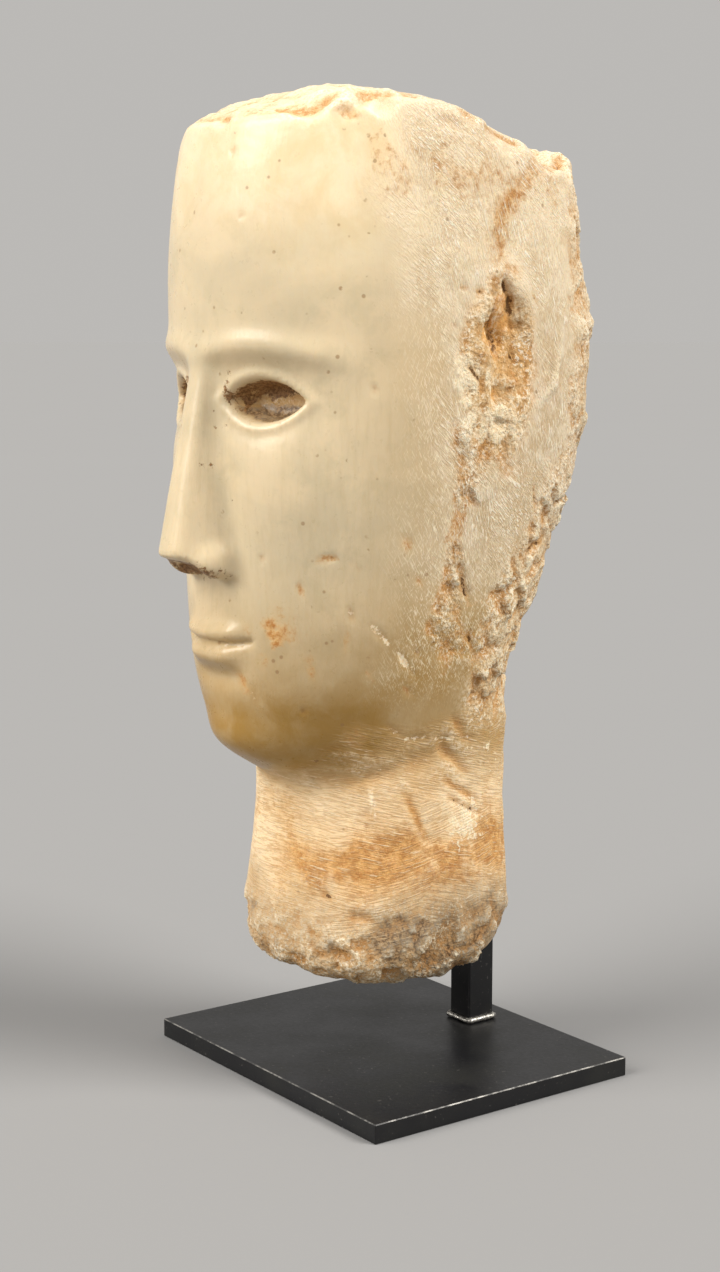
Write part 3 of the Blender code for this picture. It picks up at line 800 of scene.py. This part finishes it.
def alabaster():
    """Clouded stone: polished in front, rasped at the sides and neck, and broken behind."""
    n = Nodes("alabaster_dressed")
    names = ("rough", "neck", "side", "scuffed", "ochre", "dirt_and_shade", "pale", "grey", "brown", "jaw_tone_and_shade", "upper")
    rough, neck, side, scuffed, ochre, dirt_and_shade, pale, grey, brown, jaw_tone_and_shade, upper = map(n.attribute, names)
    names = ("amber", "pit", "deep", "hollow", "ridge", "calm", "crack")
    amber, pit, deep, sunk, ridge, calm, crack = map(n.attribute, names)
    # Painted shade in the hollows, stronger on the broken stone.
    hollow = n.math("MULTIPLY", sunk, n.span(rough, 0.0, 0.5, 0.3, 1.0))
    cloud = n.noise(24, 5, 0.6, distortion=0.8)
    mottle = n.noise(80, 5, 0.65, distortion=0.4)
    fine = n.noise(360, 4, 0.72)
    grit = n.noise(800, 3, 0.75)
    dust = n.noise(1100, 3, 0.7)
    which = n.span(n.noise(48, 3, 0.5), 0.47, 0.53)
    level_rasp = n.mix_value(
        which,
        n.noise(1900, 3, 0.62, vector=n.drawn_out(13, 13, 1, -0.26)),
        n.noise(1900, 3, 0.62, vector=n.drawn_out(13, 13, 1, 0.2)),
    )
    slant_rasp = n.mix_value(
        which,
        n.noise(2000, 3, 0.6, vector=n.drawn_out(1, 9, 1, -0.75)),
        n.noise(2000, 3, 0.6, vector=n.drawn_out(1, 1, 9, 0.25)),
    )
    upright = n.noise(520, 4, 0.65, vector=n.drawn_out(1, 1, 7))
    flecks = n.noise(2900, 2, 0.5, vector=n.drawn_out(1, 1, 9, 0.5))
    cross_flecks = n.noise(2900, 2, 0.5, vector=n.drawn_out(1, 1, 9, -0.35))

    def part(mask, pattern, low, high, least=0.0, most=1.0):
        """A mask dimmed by a pattern."""
        return n.math("MULTIPLY", mask, n.span(pattern, low, high, least, most), clamp=True)

    def patches(mask, pattern, spread=2.2, low=0.42, high=0.62, most=1.0):
        """A mask turned into patches, which thin out where it is weak."""
        ragged = n.math("ADD", mask, n.math("MULTIPLY", n.math("SUBTRACT", pattern, 0.5), spread))
        return n.math("MULTIPLY", n.span(ragged, low, high), n.span(mask, 0.02, 0.12, 0, most))

    polished = n.math("SUBTRACT", 1.0, n.math("ADD", rough, neck, clamp=True), clamp=True)
    colour = n.mix(n.span(cloud, 0.36, 0.64), (0.74, 0.60, 0.39, 1), (0.64, 0.53, 0.35, 1))
    colour = n.mix(n.span(mottle, 0.48, 0.7, 0, 0.5), colour, (0.56, 0.47, 0.30, 1))
    # Painted light: a paler, warmer colour towards the top of the head.
    painted_top_light = n.mix(n.span(mottle, 0.35, 0.65), (0.89, 0.75, 0.51, 1), (0.82, 0.65, 0.39, 1))
    colour = n.mix(upper, colour, painted_top_light)
    fine_lines = n.math("MULTIPLY", polished, calm)
    colour = n.mix(part(fine_lines, upright, 0.42, 0.7, 0, 0.2), colour, (0.50, 0.39, 0.21, 1))
    broken = n.mix(n.span(cloud, 0.4, 0.6), (0.86, 0.69, 0.46, 1), (0.70, 0.50, 0.29, 1))
    colour = n.mix(n.math("MULTIPLY", rough, 0.75), colour, broken)
    dressed = n.mix(n.span(cloud, 0.4, 0.6), (0.92, 0.70, 0.43, 1), (0.80, 0.54, 0.27, 1))
    colour = n.mix(n.math("MULTIPLY", neck, 0.85), colour, dressed)
    # Painted shade, partly the stone's own darker tone: olive-brown toward and under the jaw.
    colour = n.mix(part(jaw_tone_and_shade, mottle, 0.3, 0.6, 0.8, 1.0), colour, (0.37, 0.21, 0.045, 1))
    colour = n.mix(part(pit, mottle, 0.35, 0.65, 0.2, 0.7), colour, (0.80, 0.52, 0.25, 1))
    colour = n.mix(part(side, mottle, 0.42, 0.58, 0.15, 0.62), colour, (0.97, 0.84, 0.64, 1))
    colour = n.mix(part(side, mottle, 0.47, 0.36, 0, 0.5), colour, (0.66, 0.48, 0.28, 1))
    colour = n.mix(part(ochre, mottle, 0.3, 0.7, 0.2, 0.5), colour, (0.93, 0.62, 0.28, 1))
    rust = n.mix(n.span(fine, 0.35, 0.65), (0.72, 0.38, 0.11, 1), (0.46, 0.19, 0.035, 1))
    streaked = n.mix_value(n.math("MULTIPLY", neck, 0.6), fine, level_rasp)
    colour = n.mix(patches(ochre, streaked, 2.7, 0.0, 1.05, 0.95), colour, rust)
    # Painted shade: darker amber deeper in the ear pit.
    colour = n.mix(part(deep, mottle, 0.3, 0.6, 0.7, 1.0), colour, (0.78, 0.40, 0.10, 1))
    colour = n.mix(part(neck, level_rasp, 0.46, 0.56, 0, 0.45), colour, (0.46, 0.25, 0.08, 1))
    rasped = n.math("MULTIPLY", side, n.span(n.noise(60, 3, 0.6), 0.4, 0.58, 0.35, 1.0))
    colour = n.mix(part(rasped, slant_rasp, 0.47, 0.56, 0, 0.75), colour, (0.52, 0.33, 0.16, 1))
    colour = n.mix(part(side, grit, 0.52, 0.62, 0, 0.45), colour, (0.60, 0.41, 0.21, 1))
    colour = n.mix(part(amber, mottle, 0.3, 0.7, 0.6, 0.95), colour, (0.46, 0.25, 0.05, 1))
    # Painted shade: hollows darkened to warm brown.
    colour = n.mix(part(hollow, fine, 0.3, 0.6, 0.4, 0.85), colour, (0.62, 0.31, 0.09, 1))
    colour = n.mix(part(rough, grit, 0.49, 0.39, 0, 0.7), colour, (0.52, 0.30, 0.12, 1))
    clusters = n.math("MULTIPLY", rough, n.span(mottle, 0.44, 0.6, 0.15, 1.0))
    colour = n.mix(part(clusters, grit, 0.53, 0.60, 0, 0.8), colour, (0.98, 0.88, 0.70, 1))
    earthy = n.mix(n.span(grit, 0.4, 0.6), (0.36, 0.22, 0.10, 1), (0.12, 0.07, 0.03, 1))
    colour = n.mix(part(brown, mottle, 0.36, 0.54, 0.62, 1.0), colour, earthy)
    sugar = n.math("MULTIPLY", brown, n.span(cloud, 0.42, 0.58))
    colour = n.mix(part(sugar, grit, 0.54, 0.61, 0, 0.55), colour, (0.86, 0.71, 0.49, 1))
    cloudy = n.mix(n.span(grit, 0.42, 0.58), (0.36, 0.25, 0.14, 1), (0.12, 0.07, 0.035, 1))
    colour = n.mix(patches(grey, mottle, 1.6, 0.2, 0.6, 0.9), colour, cloudy)
    # Painted highlight on raised edges, partly the pale crystals that the broken edges show.
    colour = n.mix(part(ridge, grit, 0.44, 0.56, 0, 0.85), colour, (0.98, 0.87, 0.66, 1))
    chalk = n.mix(n.span(dust, 0.35, 0.6), (0.84, 0.64, 0.38, 1), (0.98, 0.86, 0.63, 1))
    colour = n.mix(patches(pale, fine, most=0.85), colour, chalk)
    colour = n.mix(part(scuffed, flecks, 0.57, 0.64, 0, 0.55), colour, (0.93, 0.82, 0.60, 1))
    colour = n.mix(part(scuffed, cross_flecks, 0.58, 0.65, 0, 0.5), colour, (0.93, 0.82, 0.60, 1))
    colour = n.mix(part(rasped, slant_rasp, 0.54, 0.61, 0, 0.9), colour, (1.0, 0.91, 0.73, 1))
    colour = n.mix(part(neck, level_rasp, 0.57, 0.68, 0, 0.55), colour, (0.97, 0.83, 0.58, 1))
    # More painted shade: the hollows darker still.
    colour = n.mix(part(hollow, grit, 0.6, 0.38, 0.1, 0.7), colour, (0.42, 0.20, 0.06, 1))
    # Dark stains, and the painted shade deep in the ear pit.
    dirt_and_shade_colour = n.mix(n.span(dust, 0.4, 0.6), (0.16, 0.075, 0.022, 1), (0.34, 0.18, 0.07, 1))
    colour = n.mix(patches(dirt_and_shade, fine), colour, dirt_and_shade_colour)
    ragged = n.math("ADD", crack, n.math("MULTIPLY", n.math("SUBTRACT", grit, 0.5), 0.3))
    split = n.span(ragged, 0.49, 0.54)
    colour = n.mix(n.math("MULTIPLY", n.span(ragged, 0.40, 0.5), 0.45), colour, (0.66, 0.38, 0.14, 1))
    colour = n.mix(n.math("MULTIPLY", split, 0.92), colour, (0.17, 0.075, 0.02, 1))
    specks = n.cells(260).outputs["Distance"]
    dots = n.math("MULTIPLY", n.span(specks, 0.2, 0.1), n.span(mottle, 0.54, 0.6))
    colour = n.mix(n.math("MULTIPLY", dots, 0.6), colour, (0.30, 0.16, 0.06, 1))

    crystals = n.cells(760)
    glint = n.span(crystals.outputs["Color"], 0.3, 0.8)
    worked = n.math("MAXIMUM", n.math("MULTIPLY", neck, 0.9), n.math("MULTIPLY", side, 0.6))
    dull = n.math("MAXIMUM", rough, worked)
    sheen = n.math("ADD", n.math("MULTIPLY", fine, 0.2), n.span(dull, 0.0, 1.0, 0.2, 0.5))
    sheen = n.math("SUBTRACT", sheen, n.math("MULTIPLY", part(rough, glint, 0.5, 0.9), 0.25))
    sheen = n.math("ADD", sheen, n.math("MULTIPLY", n.math("MAXIMUM", dirt_and_shade, hollow), 0.3))

    normal = n.bump(n.noise(120, 3, 0.6), 0.0002, 0.5)
    normal = n.bump(upright, 0.0002, n.math("MULTIPLY", polished, 0.6), normal)
    normal = n.bump(level_rasp, 0.0007, n.math("MULTIPLY", neck, 0.9), normal)
    normal = n.bump(slant_rasp, 0.0009, n.math("MULTIPLY", side, 0.9), normal)
    normal = n.bump(grit, 0.0006, n.math("MULTIPLY", rough, 0.8), normal)
    grain = n.math("ADD", n.math("MULTIPLY", crystals.outputs["Distance"], 0.4), fine)
    normal = n.bump(grain, 0.0009, n.math("MULTIPLY", rough, 0.9), normal)
    normal = n.bump(fine, 0.0006, n.math("MAXIMUM", pale, ochre), normal)
    normal = n.bump(n.math("SUBTRACT", mottle, split), 0.0012, n.math("MAXIMUM", brown, split), normal)

    n.put(n.shader.inputs["Base Color"], colour)
    n.put(n.shader.inputs["Roughness"], sheen)
    n.put(n.shader.inputs["Normal"], normal)
    n.put(n.shader.inputs["Subsurface Weight"], n.span(rough, 0.0, 1.0, 0.4, 0.15))
    n.shader.inputs["Subsurface Radius"].default_value = (1.0, 0.75, 0.5)
    n.shader.inputs["Subsurface Scale"].default_value = 0.003
    n.shader.inputs["IOR"].default_value = 1.52
    n.put(n.shader.inputs["Specular IOR Level"], n.span(rough, 0.0, 1.0, 0.42, 0.2))
    return n.material


def black_steel():
    """Satin black steel with a little dust."""
    n = Nodes("black_steel_dressed")
    fine = n.noise(700, 5, 0.6)
    blotch = n.noise(38, 5, 0.6)
    colour = n.mix(n.span(blotch, 0.4, 0.7), (0.006, 0.006, 0.007, 1), (0.012, 0.012, 0.011, 1))
    dust = n.math("MULTIPLY", n.span(n.noise(900, 2, 0.5), 0.68, 0.74), 0.35)
    colour = n.mix(dust, colour, (0.16, 0.15, 0.14, 1))
    n.put(n.shader.inputs["Base Color"], colour)
    sheen = n.math("ADD", n.math("MULTIPLY", fine, 0.16), n.span(blotch, 0.3, 0.7, 0.24, 0.36))
    n.put(n.shader.inputs["Roughness"], sheen)
    n.put(n.shader.inputs["Normal"], n.bump(fine, 0.0001, 0.35))
    n.shader.inputs["Specular IOR Level"].default_value = 0.35
    return n.material


def bare_weld():
    """Bright rippled metal."""
    n = Nodes("bare_weld")
    ripple = n.noise(900, 4, 0.6)
    n.put(n.shader.inputs["Base Color"], n.mix(ripple, (0.30, 0.29, 0.27, 1), (0.62, 0.60, 0.55, 1)))
    n.put(n.shader.inputs["Roughness"], n.span(ripple, 0.3, 0.7, 0.25, 0.5))
    n.put(n.shader.inputs["Normal"], n.bump(ripple, 0.0003, 0.6))
    n.shader.inputs["Metallic"].default_value = 1.0
    return n.material


def edge_highlight():
    """Painted highlight: black steel turned to bright bare metal along an edge, more in some places than
    others.
    """
    n = Nodes("edge_highlight")
    bare = n.span(n.noise(160, 5, 0.7), 0.42, 0.62, 0.05, 0.55)
    n.put(n.shader.inputs["Base Color"], n.mix(bare, (0.014, 0.014, 0.015, 1), (0.55, 0.53, 0.49, 1)))
    n.put(n.shader.inputs["Metallic"], bare)
    n.put(n.shader.inputs["Roughness"], n.span(n.noise(800, 3), 0.3, 0.7, 0.22, 0.4))
    return n.material


def soft_block(size, edge, segments):
    """A block with softly broken edges, round its own centre."""
    bm = bmesh.new()
    bmesh.ops.create_cube(bm, size=1, matrix=Matrix.Diagonal((*size, 1)))
    edges = list(bm.edges)
    bmesh.ops.bevel(bm, geom=edges, offset=edge, segments=segments, profile=0.5, affect="EDGES")
    return bm


def made_mesh(bm, name):
    """The working mesh as a named one."""
    mesh = bpy.data.meshes.new(name)
    bm.to_mesh(mesh)
    bm.free()
    return mesh


def dressed_plate(node, finish, highlight_finish):
    """The plate with softly broken edges, its top bevels given a painted highlight of bright bare metal
    in places.
    """
    low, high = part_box(node)
    centre = (Vector(low) + Vector(high)) / 2
    size = Vector(high) - Vector(low)
    bm = soft_block(size, PLATE_EDGE, 1)
    for face in bm.faces:
        # Painted highlight: the top bevels take the bright metal finish.
        highlit = 0.1 < face.normal.z < 0.9
        face.material_index = 1 if highlit else 0
    plate = new_object("base_plate_dressed", made_mesh(bm, "base_plate_dressed"), finish)
    plate.data.materials.append(highlight_finish)
    plate.location = centre
    return plate


def dressed_post(node, finish):
    """The square bar alone, with softly broken edges."""
    low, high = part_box(node)
    centre = (Vector(low) + Vector(high)) / 2
    bm = soft_block((BAR_SIDE, BAR_SIDE, high[2] - low[2]), BAR_EDGE, 3)
    post = new_object("stand_post_dressed", made_mesh(bm, "stand_post_dressed"), finish)
    post.location = centre
    return post


def weld_bead(node, finish):
    """A rippled bead round the foot of the post."""
    low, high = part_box(node)
    centre = ((low[0] + high[0]) / 2, (low[1] + high[1]) / 2, low[2])
    bm = bmesh.new()
    loops = []
    for k in range(4 * WELD_STEPS):
        a = math.radians(90 * (k // WELD_STEPS))
        cos_a, sin_a = math.cos(a), math.sin(a)
        t = (k % WELD_STEPS / WELD_STEPS - 0.5) * 2 * WELD_HALF
        x = cos_a * WELD_HALF - sin_a * t
        y = sin_a * WELD_HALF + cos_a * t
        radius = WELD_RADIUS * (1 + 0.16 * math.sin(k * 1.9) + 0.08 * math.sin(k * 0.7))
        loop = []
        for j in range(WELD_SIDES):
            b = 2 * math.pi * j / WELD_SIDES
            out = radius * math.cos(b)
            up = max(0.0, WELD_HEIGHT + radius * math.sin(b))
            loop.append(bm.verts.new((x + cos_a * out, y + sin_a * out, up)))
        loops.append(loop)
    for loop, after in zip(loops, loops[1:] + loops[:1]):
        for j in range(WELD_SIDES):
            i = (j + 1) % WELD_SIDES
            bm.faces.new((loop[j], loop[i], after[i], after[j]))
    bmesh.ops.recalc_face_normals(bm, faces=bm.faces)
    mesh = made_mesh(bm, "weld_bead")
    mesh.shade_smooth()
    bead = new_object("weld_bead", mesh, finish)
    bead.location = centre
    return bead


def floor_and_lights():
    """A pale floor that meets an equally pale surround, and two broad soft lights from above."""
    bm = bmesh.new()
    bmesh.ops.create_circle(bm, cap_ends=True, segments=96, radius=FLOOR_RADIUS)
    mesh = made_mesh(bm, "floor")
    n = Nodes("pale_floor")
    colour = n.mix(n.noise(3), (0.274, 0.274, 0.276, 1), (0.278, 0.278, 0.280, 1))
    n.put(n.shader.inputs["Base Color"], colour)
    n.shader.inputs["Roughness"].default_value = 0.9
    n.shader.inputs["Specular IOR Level"].default_value = 0.0
    floor = new_object("floor", mesh, n.material)

    world = bpy.data.worlds.new("studio")
    world.use_nodes = True
    background = world.node_tree.nodes["Background"]
    background.inputs["Color"].default_value = (1.0, 0.975, 0.94, 1)
    background.inputs["Strength"].default_value = 0.5
    bpy.context.scene.world = world

    def soft_light(name, place, power, spread):
        lamp = bpy.data.lights.new(name, "SUN")
        lamp.energy = power
        lamp.angle = math.radians(spread)
        lamp.color = (1.0, 0.97, 0.92)
        obj = bpy.data.objects.new(name, lamp)
        obj.location = place
        obj.rotation_euler = (-Vector(place)).to_track_quat("-Z", "Y").to_euler()
        bpy.context.scene.collection.objects.link(obj)

    soft_light("front_light", (-0.15, -0.85, 0.62), 3.2, 40)
    soft_light("side_light", (0.75, 0.45, 0.9), 3.1, 28)


def set_camera():
    """The photograph's own angle: from the figure's left front, a little above the eyes."""
    data = bpy.data.cameras.new("camera")
    data.lens = LENS
    data.sensor_width = 36
    camera = bpy.data.objects.new("camera", data)
    camera.location = CAMERA_AT
    camera.rotation_euler = (math.radians(90 - LOOKS_DOWN), 0, math.radians(LOOKS_ROUND))
    bpy.context.scene.collection.objects.link(camera)
    bpy.context.scene.camera = camera


steel = black_steel()

head = dressed_head(nodes["alabaster_head"], alabaster())
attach(head, "root")
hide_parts("alabaster_head")

post = dressed_post("stand_post", steel)
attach(post, "root")
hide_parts("stand_post")
bead = weld_bead("stand_post", bare_weld())
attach(bead, "root")

plate = dressed_plate("base_plate", steel, edge_highlight())
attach(plate, "root")
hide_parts("base_plate")
nodes["neck_rest"].data.materials.clear()
nodes["neck_rest"].data.materials.append(steel)

floor_and_lights()
set_camera()
bpy.context.scene.view_settings.view_transform = "Standard"
